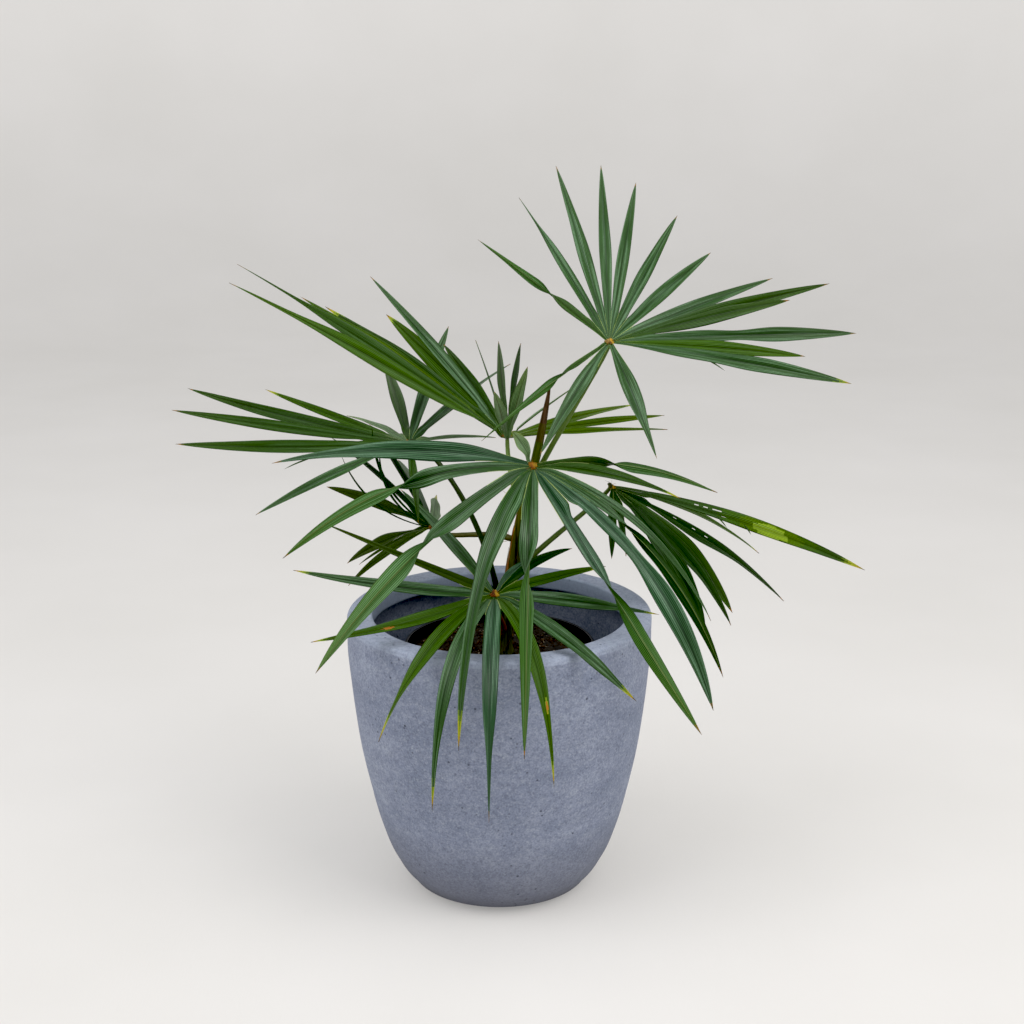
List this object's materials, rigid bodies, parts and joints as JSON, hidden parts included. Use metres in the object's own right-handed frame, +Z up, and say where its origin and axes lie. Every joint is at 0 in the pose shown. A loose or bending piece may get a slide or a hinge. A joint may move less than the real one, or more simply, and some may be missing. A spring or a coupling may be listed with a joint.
{
  "type": "potted fan palm in a planter",
  "caption": "Young fan palm with narrow fingered fronds on thin stalks, in a black nursery pot inside a rounded, tapering fibre-clay planter.",
  "frame": {"origin": "centre of the planter's flat underside, on the floor", "axes": "+Z up along the planter's axis, -Y towards the front of the plant, +X to the right seen from the front"},
  "size_m": [0.8271, 0.5726, 0.8179],
  "materials": {
    "planter_clay": "matte, mottled blue-grey fibre clay with small pits",
    "nursery_plastic": "dull black",
    "soil": "crumbly and dark",
    "bark": "fibrous",
    "spear_leaf": "folded leaf, satin",
    "petiole": "smooth green stalk",
    "leaf": "satin leaf, paler underneath"
  },
  "bodies": {
    "root": {"planter": "planter_clay", "nursery_pot": "nursery_plastic", "soil": "soil", "trunk": "bark", "spear": "spear_leaf", "petiole_right_high": "petiole", "petiole_front": "petiole", "petiole_front_low": "petiole", "petiole_left_low": "petiole", "petiole_right_low": "petiole", "petiole_left": "petiole", "petiole_top": "petiole", "frond_right_high": "leaf", "frond_front": "leaf", "frond_front_low": "leaf", "frond_left_low": "leaf", "frond_right_low": "leaf", "frond_left": "leaf", "frond_top": "leaf"}
  },
  "joints": []
}
